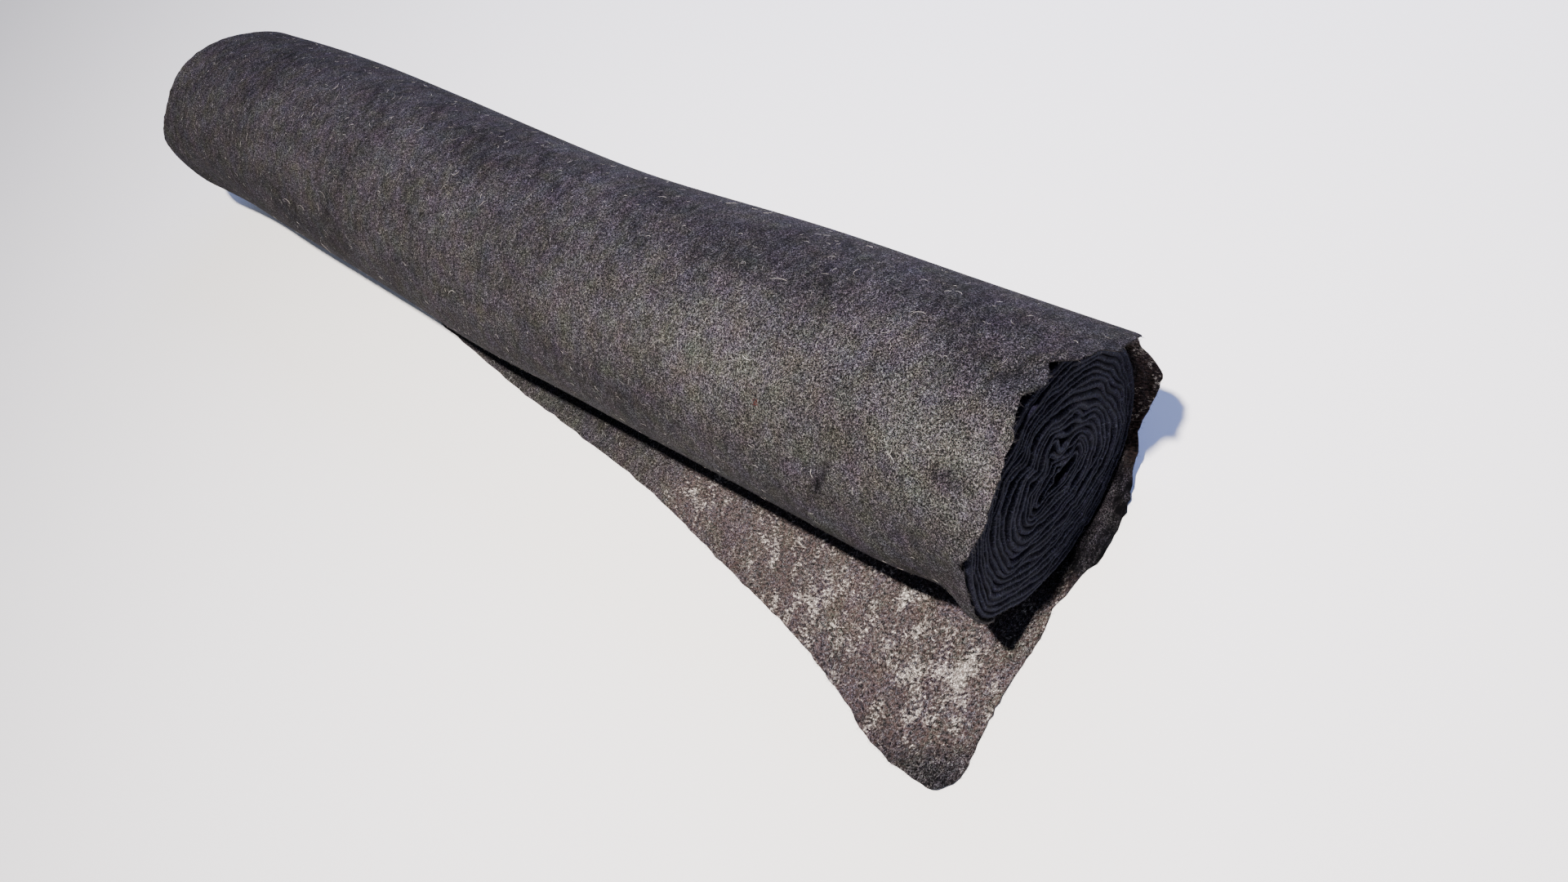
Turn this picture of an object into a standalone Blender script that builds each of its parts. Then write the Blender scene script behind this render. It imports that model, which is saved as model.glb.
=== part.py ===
"""A roll of geotextile, lying on a floor with its loose end unrolled to one side.

The roll lies along X, its open near end at +X. The cloth leaves the roll underneath, runs out
to -Y as a flap whose cut edge is askew, and rises up the roll's back on the +Y side.
Everything is in metres, +Z up. The origin is under the middle of the whole, on the floor.
"""

import math

import bmesh
import bpy
import numpy as np

MM = 0.001

# Driving dimensions
CLOTH_WIDTH = 2000 * MM
CLOTH_THICKNESS = 2.5 * MM
CLEARANCE = 0.3 * MM
BACK_CLEARANCE = 0.6 * MM
POINTS_ROUND = 60
BODY_STATIONS = 21
SHEET_STATIONS = 27

# The roll's cross-sections from the far end to the near one: how far each lies along the
# roll as a share of its half length, how far its middle stands aside, and its half width
# and half height. The roll is bent a little and thicker at the near end.
#            along   aside     half_width  half_height
SECTIONS = (
    (-1.000, 13 * MM, 180 * MM, 163 * MM),
    (-0.667, 12 * MM, 180 * MM, 166 * MM),
    (-0.333, 3 * MM, 180 * MM, 169 * MM),
    (0.000, -8 * MM, 179 * MM, 170 * MM),
    (0.333, -10 * MM, 180 * MM, 172 * MM),
    (0.667, -6 * MM, 182 * MM, 175 * MM),
    (1.000, -4 * MM, 184 * MM, 177 * MM),
)

# Dents and swells of the outer turn. Angles start at the back, at +Y, and turn over the top.
#          place along X, angle, height, length along X, spread in degrees
DENTS = (
    (-1.00, 45, -8 * MM, 0.14, 30),
    (-0.88, 174, -14 * MM, 0.15, 20),
    (-0.55, 25, 3 * MM, 0.22, 26),
    (0.02, 176, 6 * MM, 0.16, 24),
    (0.18, 25, -5 * MM, 0.18, 24),
    (0.56, 25, 3 * MM, 0.18, 24),
    (0.77, 140, -4 * MM, 0.11, 14),
    (0.93, 158, -5 * MM, 0.11, 20),
)

# The wavy edge of the outer turn: a row for each crest and hollow, with its angle and how
# far the cloth reaches past the nominal width there.
NEAR_EDGE = (
    (-90, -2 * MM),
    (-15, -4 * MM),
    (10, 0 * MM),
    (28, 22 * MM),
    (48, 27 * MM),
    (62, 4 * MM),
    (84, -15 * MM),
    (112, 5 * MM),
    (128, 5 * MM),
    (151, -18 * MM),
    (184, -6 * MM),
    (230, -4 * MM),
)
FAR_EDGE = (
    (-90, 0 * MM),
    (0, -24 * MM),
    (48, -44 * MM),
    (72, -30 * MM),
    (98, -8 * MM),
    (124, 0 * MM),
    (150, 38 * MM),
    (170, 24 * MM),
    (200, 4 * MM),
    (230, 0 * MM),
)

# The end faces, from the rim inwards: the share of the section's half width and half
# height, how far the middle of the ring drops, how far the face is set back, and how much
# of the outer edge's waviness it keeps.
#            wide   high    drop      set_back  waviness
RIM_RINGS = (
    (1.000, 1.000, 0 * MM, 8 * MM, 1.0),
    (0.984, 0.984, 0 * MM, 0 * MM, 1.0),
    (0.958, 0.958, 0 * MM, 0 * MM, 1.0),
    (0.940, 0.940, 1 * MM, 9 * MM, 0.8),
)
HOLLOW_RINGS = (
    (0.300, 0.150, 5 * MM, 8 * MM, 0.2),
    (0.285, 0.140, 5 * MM, 12 * MM, 0.0),
    (0.262, 0.125, 5 * MM, 20 * MM, 0.0),
    (0.150, 0.070, 5 * MM, 22 * MM, 0.0),
)
HOLLOW_FLOOR = 22.5 * MM

# The wound face between the rim and the hollow: coarse twists, each for a few real turns.
FACE_RINGS = 11
FACE_OUTER = (0.925, 0.925, 1 * MM, 8 * MM, 0.75)
FACE_INNER = (0.350, 0.210, 5 * MM, 6 * MM, 0.30)
TWISTS = 3
TWIST_HEIGHT = 2.5 * MM

# The cut edge of the flap, askew to the roll: its place along X and its distance from the
# roll's nominal axis, on the -Y side. The first rows lie hidden under the roll.
CUT_EDGE = (
    (-1.00, 88 * MM),
    (-0.60, 130 * MM),
    (-0.23, 178 * MM),
    (0.00, 208 * MM),
    (0.19, 225 * MM),
    (0.36, 244 * MM),
    (0.53, 278 * MM),
    (0.76, 329 * MM),
    (0.83, 354 * MM),
    (0.88, 376 * MM),
    (0.96, 387 * MM),
)
FLAP_CORNER_RADIUS = 45 * MM

# The near selvedge of the loose end: the place across Y on the floor, and its reach past
# the nominal width. Behind, it goes on up the roll's back by angle.
FLOOR_SELVEDGE = (
    (-0.387, 11 * MM),
    (-0.340, 10 * MM),
    (-0.250, 4 * MM),
    (-0.200, 4 * MM),
    (-0.129, 7 * MM),
    (-0.108, 2 * MM),
    (-0.075, 10 * MM),
    (-0.030, 22 * MM),
    (-0.012, 25 * MM),
)
BACK_SELVEDGE = (
    (-90, 25 * MM),
    (-72, 20 * MM),
    (-60, 8 * MM),
    (-46, -1 * MM),
    (-36, 1 * MM),
    (-27, 12 * MM),
    (-14, 20 * MM),
    (-4, 6 * MM),
    (6, -3 * MM),
)
BACK_STEPS = 16
FLOOR_STEPS = 12
# The lines on the floor crowd towards the cut edge by this power, to round its corner.
CORNER_CROWDING = 1.7

# Low waves in the flap: middle along X, middle across Y, height, length and width. Where
# they would lift it less than the least lift, it lies flat.
LEAST_LIFT = 0.4 * MM
WAVES = (
    (0.30, -0.24, 4 * MM, 0.09, 0.030),
    (0.58, -0.30, 6 * MM, 0.08, 0.035),
    (0.80, -0.34, 3 * MM, 0.05, 0.040),
    (0.97, -0.38, 7 * MM, 0.05, 0.040),
    (0.99, -0.25, 4 * MM, 0.04, 0.050),
)

HALF_WIDTH = CLOTH_WIDTH / 2
ROLL_FLOOR = CLOTH_THICKNESS + CLEARANCE


def along_table(rows, at, column=1):
    """Reads a table between its rows along a smooth curve, and holds its ends."""
    table = np.array(rows, dtype=float)
    places, values = table[:, 0], table[:, column]
    slopes = np.gradient(values, places)
    at = np.clip(at, places[0], places[-1])
    row = np.clip(np.searchsorted(places, at) - 1, 0, len(places) - 2)
    step = places[row + 1] - places[row]
    t = (at - places[row]) / step
    start = (1 + 2 * t) * (1 - t) ** 2 * values[row] + t * (1 - t) ** 2 * step * slopes[row]
    end = t**2 * (3 - 2 * t) * values[row + 1] + t**2 * (t - 1) * step * slopes[row + 1]
    return start + end


def around_table(rows, degrees):
    """Reads an edge table all the way round, its last row running on into the first."""
    first = rows[0]
    closed = tuple(rows) + ((first[0] + 360, first[1]),)
    turned = (np.asarray(degrees) - first[0]) % 360 + first[0]
    return along_table(closed, turned)


def ring_angles():
    """The angles of a ring's points, from the floor up the back. The loose end shares them,
    so that the two run side by side."""
    return np.arange(POINTS_ROUND) * 360 / POINTS_ROUND - 90


def section_at(x):
    """The middle, half width and half height of the roll at a place along X."""
    share = np.asarray(x) / HALF_WIDTH
    return tuple(along_table(SECTIONS, share, column) for column in (1, 2, 3))


def swell(x, degrees):
    """How far the outer turn stands out or in, from the table of dents."""
    total = np.zeros(np.broadcast(x, degrees).shape)
    for place, angle, height, length, spread in DENTS:
        turn = (degrees - angle + 180) % 360 - 180
        total += height * np.exp(-(((x - place) / length) ** 2) - (turn / spread) ** 2)
    return total


def outer_turn(x, degrees, stand_off=0.0):
    """Points of the roll's outer surface, or of one that stands off it by some distance."""
    aside, half_width, half_height = section_at(x)
    angle = np.radians(degrees)
    out = swell(x, degrees)
    y = aside + (half_width + out) * np.cos(angle)
    z = half_height + (half_height + out) * np.sin(angle)
    normal = np.array([np.cos(angle) / half_width, np.sin(angle) / half_height])
    normal /= np.linalg.norm(normal, axis=0)
    return np.stack([x + 0 * y, y + stand_off * normal[0], z + stand_off * normal[1]], axis=-1)


def flat_spot(points, floor):
    """The points, with none lower than the floor they lie on."""
    points[..., 2] = np.maximum(points[..., 2], floor)
    return points


def end_ring(side, edge, row, degrees, twist=0.0):
    """One ring of an end face. Side is 1 at the near end and -1 at the far one."""
    wide, high, drop, set_back, waviness = row
    reach = waviness * around_table(edge, degrees) - set_back + twist
    x = side * (HALF_WIDTH + reach)
    ring = outer_turn(x, degrees)
    aside, _, half_height = section_at(x)
    ring[:, 1] = aside + wide * (ring[:, 1] - aside)
    ring[:, 2] = half_height - drop + high * (ring[:, 2] - half_height)
    return flat_spot(ring, ROLL_FLOOR)


def end_face(side, edge, degrees):
    """The rings of an end face from the rim to the hollow, and the point that closes it."""
    rings = [end_ring(side, edge, row, degrees) for row in RIM_RINGS]
    outer, inner = np.array(FACE_OUTER), np.array(FACE_INNER)
    for share in np.linspace(0, 1, FACE_RINGS):
        turn = 2 * math.pi * TWISTS * share + side * np.radians(degrees)
        twist = TWIST_HEIGHT * np.cos(turn)
        rings.append(end_ring(side, edge, outer + share * (inner - outer), degrees, twist))
    rings += [end_ring(side, edge, row, degrees) for row in HOLLOW_RINGS]
    x = side * (HALF_WIDTH - HOLLOW_FLOOR)
    aside, _, half_height = section_at(x)
    return rings, (x, float(aside), float(half_height) - HOLLOW_RINGS[-1][2])


def wound_roll_mesh():
    """The wound form: a stack of rings from the far hollow to the near one."""
    degrees = ring_angles()
    far_rings, far_point = end_face(-1, FAR_EDGE, degrees)
    near_rings, near_point = end_face(1, NEAR_EDGE, degrees)
    far_rim, near_rim = far_rings[0][:, 0], near_rings[0][:, 0]
    body = []
    for share in np.linspace(0, 1, BODY_STATIONS + 1)[1:-1]:
        x = far_rim + share * (near_rim - far_rim)
        body.append(flat_spot(outer_turn(x, degrees), ROLL_FLOOR))
    rings = far_rings[::-1] + body + near_rings
    return loft(rings, far_point, near_point)


def loft(rings, first_point, last_point):
    """Vertices and faces of closed rings joined in order and brought to a point at each end."""
    count = len(rings[0])
    vertices = np.concatenate([[first_point], *rings, [last_point]])
    around = np.arange(count)
    beside = (around + 1) % count
    faces = [(0, 1 + b, 1 + a) for a, b in zip(around, beside)]
    for ring in range(len(rings) - 1):
        low, high = 1 + ring * count, 1 + (ring + 1) * count
        faces += [(low + a, low + b, high + b, high + a) for a, b in zip(around, beside)]
    last = 1 + (len(rings) - 1) * count
    end = len(vertices) - 1
    faces += [(last + a, last + b, end) for a, b in zip(around, beside)]
    return vertices, faces


def wave_lift(x, y):
    """How high the low waves lift the flap off the floor."""
    lift = sum(
        height * np.exp(-(((x - at_x) / length) ** 2) - ((y - at_y) / width) ** 2)
        for at_x, at_y, height, length, width in WAVES
    )
    return np.maximum(lift - LEAST_LIFT, 0)


def floor_line(share):
    """One line of the loose end on the floor, from the far selvedge to the near one.

    Share is 0 at the cut edge and 1 where the cloth goes under the roll's middle."""
    v = np.linspace(0, 1, SHEET_STATIONS)
    corner_y = -CUT_EDGE[-1][1]
    line_y = corner_y * (1 - share)
    inset = min(line_y - corner_y, FLAP_CORNER_RADIUS)
    rounding = FLAP_CORNER_RADIUS - math.sqrt(
        FLAP_CORNER_RADIUS**2 - (FLAP_CORNER_RADIUS - inset) ** 2
    )
    near = HALF_WIDTH + along_table(FLOOR_SELVEDGE, line_y) - rounding
    x = -HALF_WIDTH + v * (near + HALF_WIDTH)
    middle = section_at(x)[0]
    y = -along_table(CUT_EDGE, x) * (1 - share) + middle * share
    lift = wave_lift(x, y)
    under = np.stack([x, y, lift], axis=-1)
    return under, under + np.array([0, 0, CLOTH_THICKNESS])


def back_line(degrees):
    """One line of the loose end that follows the roll from its underside up its back."""
    v = np.linspace(0, 1, SHEET_STATIONS)
    near = HALF_WIDTH + along_table(BACK_SELVEDGE, degrees)
    x = -HALF_WIDTH + v * (near + HALF_WIDTH)
    angles = np.full_like(x, degrees)
    under = flat_spot(outer_turn(x, angles, BACK_CLEARANCE + CLOTH_THICKNESS), 0.0)
    over = flat_spot(outer_turn(x, angles, BACK_CLEARANCE), CLOTH_THICKNESS)
    return under, over


def loose_end_mesh():
    """The loose end: a thin closed sheet from its cut edge, under the roll and up its back."""
    shares = np.linspace(0, 1, FLOOR_STEPS + 1)[:-1] ** CORNER_CROWDING
    lines = [floor_line(share) for share in shares]
    lines += [back_line(degrees) for degrees in ring_angles()[: BACK_STEPS + 1]]
    under = np.array([line[0] for line in lines])
    over = np.array([line[1] for line in lines])
    rows, columns = under.shape[:2]
    index = np.arange(rows * columns).reshape(rows, columns)
    faces = []
    for layer in (0, rows * columns):
        quads = np.stack([index[:-1, :-1], index[1:, :-1], index[1:, 1:], index[:-1, 1:]], axis=-1)
        faces += [tuple(quad + layer) for quad in quads.reshape(-1, 4)]
    border = np.concatenate([index[0, :-1], index[:-1, -1], index[-1, :0:-1], index[:0:-1, 0]])
    for a, b in zip(border, np.roll(border, -1)):
        faces.append((a, b, b + rows * columns, a + rows * columns))
    return np.concatenate([under.reshape(-1, 3), over.reshape(-1, 3)]), faces


def cloth_material(name, colour):
    """A dull felted cloth."""
    material = bpy.data.materials.new(name)
    material.use_nodes = True
    shader = material.node_tree.nodes["Principled BSDF"]
    shader.inputs["Base Color"].default_value = (*colour, 1)
    shader.inputs["Roughness"].default_value = 0.95
    shader.inputs["Metallic"].default_value = 0.0
    material.diffuse_color = (*colour, 1)
    return material


def make_object(name, shape, material, collection):
    """A named mesh object, its faces turned outwards and shaded smooth."""
    vertices, faces = shape
    mesh = bpy.data.meshes.new(name)
    mesh.from_pydata([tuple(v) for v in vertices], [], [tuple(int(i) for i in f) for f in faces])
    mesh.validate()
    mesh.materials.append(material)
    built = bpy.data.objects.new(name, mesh)
    collection.objects.link(built)
    face_outwards(mesh)
    mesh.shade_smooth()
    mesh.set_sharp_from_angle(angle=math.radians(35))
    return built


def face_outwards(mesh):
    """Turns the faces of a closed mesh outwards."""
    work = bmesh.new()
    work.from_mesh(mesh)
    bmesh.ops.recalc_face_normals(work, faces=work.faces)
    work.to_mesh(mesh)
    work.free()


def stand_on_origin(objects):
    """Puts the middle of the objects' common footprint on the origin."""
    points = np.array([tuple(v.co) for item in objects for v in item.data.vertices])
    low, high = points.min(axis=0), points.max(axis=0)
    for item in objects:
        item.location = (-(low[0] + high[0]) / 2, -(low[1] + high[1]) / 2, -low[2])


def main():
    for old in list(bpy.data.objects):
        bpy.data.objects.remove(old)
    roll_parts = bpy.data.collections.new("geotextile_roll")
    bpy.context.scene.collection.children.link(roll_parts)
    wound_cloth = cloth_material("wound_geotextile", (0.125, 0.120, 0.125))
    loose_cloth = cloth_material("loose_geotextile", (0.190, 0.180, 0.175))
    wound_roll = make_object("wound_roll", wound_roll_mesh(), wound_cloth, roll_parts)
    loose_end = make_object("loose_end", loose_end_mesh(), loose_cloth, roll_parts)
    stand_on_origin((wound_roll, loose_end))


main()
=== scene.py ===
"""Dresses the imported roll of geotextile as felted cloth, wound up by hand.

The cloth is one length. Its outer turn and loose end are one piece: the flap on the floor, the
cloth under the roll, and the turn that goes up the back, over the top and down the front. The
turns inside are a second piece, which starts where the first one ends. Loose fibres stand out
from the cut edges. Lengths are in metres, with +Z up.
"""

import logging
import math
from dataclasses import dataclass, field
from enum import Enum
from functools import partial

import bpy
import numpy as np
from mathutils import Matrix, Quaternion, Vector


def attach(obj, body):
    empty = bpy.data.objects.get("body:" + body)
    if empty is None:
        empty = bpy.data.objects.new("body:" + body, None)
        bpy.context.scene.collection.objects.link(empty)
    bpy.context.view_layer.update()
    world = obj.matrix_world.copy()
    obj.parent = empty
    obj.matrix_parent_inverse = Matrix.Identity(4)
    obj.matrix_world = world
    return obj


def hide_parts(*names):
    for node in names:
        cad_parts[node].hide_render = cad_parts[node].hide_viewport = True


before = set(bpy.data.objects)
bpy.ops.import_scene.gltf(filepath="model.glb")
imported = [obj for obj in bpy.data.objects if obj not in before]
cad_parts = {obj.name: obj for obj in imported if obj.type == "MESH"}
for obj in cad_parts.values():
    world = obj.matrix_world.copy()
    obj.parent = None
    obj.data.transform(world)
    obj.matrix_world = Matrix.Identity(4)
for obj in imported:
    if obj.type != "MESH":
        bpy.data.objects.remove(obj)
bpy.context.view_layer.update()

MM = 0.001
# The cloth's half width and thickness, and the space left between two layers of it.
HALF_WIDTH = 1000 * MM
THICKNESS = 2.5 * MM
CLEARANCE = 0.3 * MM
# Where the middle of the roll's axis stands in the frame, on the floor.
ROLL_MIDDLE = (4.29 * MM, 95.31 * MM, 0.0)
# From here to the half width the cloth stretches to its uneven edges.
EDGE_FROM = 800 * MM
# How much further along the pattern the other face of a cloth reads it, so that they differ.
OTHER_FACE = 0.37

log = logging.getLogger("geotextile_roll")

# The roll's cross-sections: how far along as a share of the half length, how far the middle
# stands aside, half width and half height.
SECTIONS = (
    (-1.000, 13 * MM, 180 * MM, 163 * MM),
    (-0.667, 12 * MM, 180 * MM, 166 * MM),
    (-0.333, 3 * MM, 180 * MM, 169 * MM),
    (0.000, -8 * MM, 179 * MM, 170 * MM),
    (0.333, -10 * MM, 180 * MM, 172 * MM),
    (0.667, -6 * MM, 182 * MM, 175 * MM),
    (1.000, -4 * MM, 184 * MM, 177 * MM),
)

# Dents and swells: place along X, angle, height, length along X, spread in degrees. The
# first group is in the solids too. The second is finer and only in the cloth.
DENTS = (
    (-1.00, 45, -8 * MM, 0.14, 30),
    (-0.88, 174, -14 * MM, 0.15, 20),
    (-0.55, 25, 3 * MM, 0.22, 26),
    (0.02, 176, 6 * MM, 0.16, 24),
    (0.18, 25, -5 * MM, 0.18, 24),
    (0.56, 25, 3 * MM, 0.18, 24),
    (0.77, 140, -4 * MM, 0.11, 14),
    (0.93, 158, -5 * MM, 0.11, 20),
)
FINE_DENTS = (
    (0.781, 146, -5 * MM, 0.009, 7),
    (0.800, 143, 3.0 * MM, 0.022, 6),
    (0.763, 131, -2.5 * MM, 0.014, 3),
    (0.923, 126, -2.5 * MM, 0.016, 3),
    (0.860, 112, -2.0 * MM, 0.050, 7),
    (0.920, 184, -10 * MM, 0.055, 26),
    (0.975, 191, 10 * MM, 0.026, 12),
    (0.990, 206, -4 * MM, 0.030, 12),
    (0.560, 128, -1.8 * MM, 0.070, 8),
    (0.300, 118, 1.8 * MM, 0.090, 9),
)

# The near edge of the outer turn by angle, as reach past the nominal width: selvedge up the
# back, a proud crest, torn steps at 69 and 86 degrees, and a notch at 151.
NEAR_EDGE = (
    (-90, 24 * MM), (-72, 20 * MM), (-60, 8 * MM), (-52, 7 * MM), (-46, -1 * MM),
    (-38, 3 * MM), (-27, 13 * MM), (-17, 20 * MM), (-12, 20 * MM), (0, -3 * MM),
    (8, -2 * MM), (16, 8 * MM), (24, 20 * MM), (30, 25 * MM), (38, 30 * MM),
    (43, 30 * MM), (51, 34 * MM), (53, 30 * MM), (55, 20 * MM), (61, 17 * MM),
    (66, 14 * MM), (68, 2 * MM), (70, -11 * MM), (79, 4 * MM), (83, -6 * MM),
    (86, -13 * MM), (89, -11 * MM), (94, -7 * MM), (98, 0 * MM), (106, 1 * MM),
    (112, 4 * MM), (116, 5 * MM), (129, 6 * MM), (136, 0 * MM), (145, -9 * MM),
    (151, -21 * MM), (153, -14 * MM), (175, -14 * MM), (190, -10 * MM), (198, -10 * MM),
    (207, -20 * MM), (220, -22 * MM), (270, -18 * MM), (320, -10 * MM),
)
# How far the near rim lifts off the turns under it, by angle: a ruffle at the top, and low
# ones down the front.
RIM_LIFT = (
    (-90, 0 * MM), (50, 0 * MM), (58, 4 * MM), (66, 8 * MM), (91, 8 * MM), (100, 2 * MM),
    (112, 0 * MM), (122, 3 * MM), (132, 0 * MM), (147, 5 * MM), (156, 1 * MM), (170, 0 * MM),
    (194, 2 * MM), (204, 5 * MM), (216, 4 * MM), (228, 0 * MM), (320, 0 * MM),
)
# The far edge of the outer turn by angle, as reach past the nominal width.
FAR_EDGE = (
    (-90, 0 * MM), (0, -24 * MM), (48, -44 * MM), (72, -30 * MM), (98, -8 * MM),
    (124, 0 * MM), (150, 38 * MM), (170, 24 * MM), (200, 4 * MM), (230, 0 * MM),
    (320, -6 * MM),
)

# The flap's cut edge: place along X and distance from the roll's nominal axis.
CUT_EDGE = (
    (-1.00, 88 * MM),
    (-0.60, 130 * MM),
    (-0.23, 178 * MM),
    (0.00, 208 * MM),
    (0.19, 225 * MM),
    (0.36, 244 * MM),
    (0.53, 278 * MM),
    (0.76, 329 * MM),
    (0.83, 354 * MM),
    (0.88, 376 * MM),
    (0.96, 387 * MM),
)
# How round the flap's near corner is.
CORNER_RADIUS = 45 * MM

# The near selvedge on the floor: place across Y, and its reach past the nominal width.
FLOOR_SELVEDGE = (
    (-0.387, 11 * MM),
    (-0.340, 10 * MM),
    (-0.300, 6 * MM),
    (-0.225, 3.6 * MM),
    (-0.137, 6.5 * MM),
    (-0.110, 2 * MM),
    (-0.085, 9 * MM),
    (-0.054, 12.7 * MM),
    (-0.036, 21 * MM),
    (-0.005, 24 * MM),
)

# Low waves in the flap: middle along X, middle across Y, height, length and width. The flap is
# flat where they add up to less than the least lift.
LEAST_LIFT = 0.4 * MM
WAVES = (
    (0.30, -0.24, 4 * MM, 0.09, 0.030),
    (0.58, -0.30, 6 * MM, 0.08, 0.035),
    (0.80, -0.34, 3 * MM, 0.05, 0.040),
    (0.97, -0.38, 7 * MM, 0.05, 0.040),
    (0.99, -0.25, 4 * MM, 0.04, 0.050),
)

# The shape of a turn half way in, and of the innermost one: angle, and distance from the
# middle as a share of the outer turn's. The dip at 104 degrees runs through all the turns.
MIDDLE_TURN = (
    (-74, 0.650), (-45, 0.800), (-20, 0.690), (-1, 0.640), (19, 0.636), (43, 0.633),
    (63, 0.644), (89, 0.683), (104, 0.617), (112, 0.715), (124, 0.722), (138, 0.728),
    (158, 0.700), (181, 0.660), (219, 0.560), (254, 0.570), (286, 0.650),
)
CORE_TURN = (
    (-83, 0.055), (-44, 0.110), (-22, 0.180), (-2, 0.165), (29, 0.070), (84, 0.065),
    (143, 0.095), (161, 0.165), (180, 0.160), (212, 0.085), (277, 0.055),
)

# Where the single layer of the flap is thin and pale: place along X, across Y, how thin, or
# how much thicker if negative, reach along X and across Y.
THIN_PLACES = (
    (0.930, -0.280, 0.95, 0.048, 0.048),
    (0.942, -0.237, 0.70, 0.032, 0.032),
    (0.880, -0.255, 0.50, 0.050, 0.050),
    (0.837, -0.195, 0.65, 0.032, 0.032),
    (0.730, -0.225, 0.70, 0.045, 0.045),
    (0.598, -0.211, 0.60, 0.040, 0.040),
    (0.448, -0.213, 0.45, 0.040, 0.040),
    (0.690, -0.270, 0.35, 0.045, 0.045),
    (0.975, -0.360, -0.16, 0.070, 0.070),
)

# Where the outer turn is paler, or darker if negative: place along X, angle, how much,
# length along X, spread in degrees. The first row is painted shade on the edge at the back,
# the second darkens the middle, and the last four are a painted shadow: the dark line of a
# small crease.
WEAR_AND_SHADE_PLACES = (
    (1.030, -58, -0.68, 0.070, 60),
    (0.250, 112, -0.22, 0.230, 32),
    (0.965, 111, 0.80, 0.026, 3.5),
    (0.883, 109, 0.30, 0.040, 7),
    (0.953, 120, -0.75, 0.034, 4),
    (0.805, 121, -0.40, 0.050, 6),
    (0.950, 82, -0.35, 0.070, 9),
    (0.791, 136, -0.7, 0.005, 4.5),
    (0.784, 142, -1.0, 0.005, 4.5),
    (0.776, 148, -1.0, 0.005, 4.5),
    (0.768, 154, -0.7, 0.005, 4.5),
)


class End(Enum):
    """An end of the roll, and the side of X that it is on."""

    FAR = -1
    NEAR = 1


def linear(code: str) -> tuple[float, float, float, float]:
    """Turns an sRGB colour into the linear one that a shader takes.

    Args:
        code: six hexadecimal digits.

    Returns:
        Red, green, blue and an alpha of 1.
    """
    parts = [int(code[i : i + 2], 16) / 255 for i in (0, 2, 4)]
    red, green, blue = (
        part / 12.92 if part <= 0.04045 else ((part + 0.055) / 1.055) ** 2.4 for part in parts
    )
    return red, green, blue, 1.0


def smoothstep(low: float, high: float, at: np.ndarray) -> np.ndarray:
    """A smooth rise, 3t^2 - 2t^3, from 0 at low to 1 at high.

    Args:
        low: where the rise starts.
        high: where it ends.
        at: the places to read.

    Returns:
        The height at each place.
    """
    t = np.clip((np.asarray(at, dtype=float) - low) / (high - low), 0, 1)
    return t * t * (3 - 2 * t)


def along_table(rows: tuple, at: np.ndarray, column: int = 1) -> np.ndarray:
    """Reads a table between its rows along a cubic Hermite curve, and holds its ends.

    Args:
        rows: rows that start with a place.
        at: the places to read.
        column: the column of the value.

    Returns:
        The value at each place.
    """
    table = np.array(rows, dtype=float)
    places, values = table[:, 0], table[:, column]
    slopes = np.gradient(values, places)
    at = np.clip(at, places[0], places[-1])
    row = np.clip(np.searchsorted(places, at) - 1, 0, len(places) - 2)
    step = places[row + 1] - places[row]
    t = (at - places[row]) / step
    start = (1 + 2 * t) * (1 - t) ** 2 * values[row] + t * (1 - t) ** 2 * step * slopes[row]
    end = t**2 * (3 - 2 * t) * values[row + 1] + t**2 * (t - 1) * step * slopes[row + 1]
    return start + end


def around_table(rows: tuple, degrees: np.ndarray) -> np.ndarray:
    """Reads a table of angles that comes round to its start.

    Args:
        rows: rows of an angle and a value, the last one a full circle after the first.
        degrees: the angles to read.

    Returns:
        The value at each angle.
    """
    return along_table(rows, (np.asarray(degrees) - rows[0][0]) % 360 + rows[0][0])


def straight_table(rows: tuple, at: np.ndarray) -> np.ndarray:
    """Reads a table between its rows along straight lines, and holds its ends.

    Args:
        rows: rows of a place and a value.
        at: the places to read.

    Returns:
        The value at each place.
    """
    places, values = np.array(rows).T
    return np.interp(at, places, values)


def uneven(at: np.ndarray, wavelength: float, seed: int) -> np.ndarray:
    """A smooth uneven line, from -1 to 1 or so: a third of the sum of seven sines, each with a
    length and a start of its own.

    Args:
        at: the places to read, in the unit of wavelength.
        wavelength: the middle length of a wave.
        seed: picks one line of many.

    Returns:
        The height at each place.
    """
    rng = np.random.default_rng(seed)
    total = np.zeros(np.shape(at))
    for _ in range(7):
        length = wavelength * rng.uniform(0.6, 1.7)
        total += np.sin(2 * math.pi * (np.asarray(at) / length + rng.uniform()))
    return total / 3.0


def ragged(at: np.ndarray, waves: tuple) -> np.ndarray:
    """A ragged line: the sum of uneven lines.

    Args:
        at: the places to read.
        waves: rows of a height, a wavelength and a seed.

    Returns:
        The height at each place.
    """
    return sum(height * uneven(at, wavelength, seed) for height, wavelength, seed in waves)


def bumps(rows: tuple, x: np.ndarray, y: np.ndarray, circle: float = 0.0) -> np.ndarray:
    """Adds up smooth bumps: height * exp(-(dx / length)^2 - (dy / width)^2).

    Args:
        rows: rows of the middle in x and in y, the height, the length and the width.
        x: the places to read, along.
        y: the same across.
        circle: where y comes round to its start, or 0 if it doesn't.

    Returns:
        The height at each place.
    """
    total = 0.0
    for at_x, at_y, height, length, width in rows:
        across = y - at_y
        if circle:
            across = (across + circle / 2) % circle - circle / 2
        total = total + height * np.exp(-(((x - at_x) / length) ** 2) - (across / width) ** 2)
    return total


def in_stretches(start: float, stretches: tuple) -> list[float]:
    """Places in order, evenly spaced within each stretch.

    Args:
        start: the first place.
        stretches: rows of where a stretch ends, and the spacing in it.

    Returns:
        The places.
    """
    places = [start]
    for end, spacing in stretches:
        count = max(1, round((end - places[-1]) / spacing))
        places += list(np.linspace(places[-1], end, count + 1)[1:])
    return places


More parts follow.
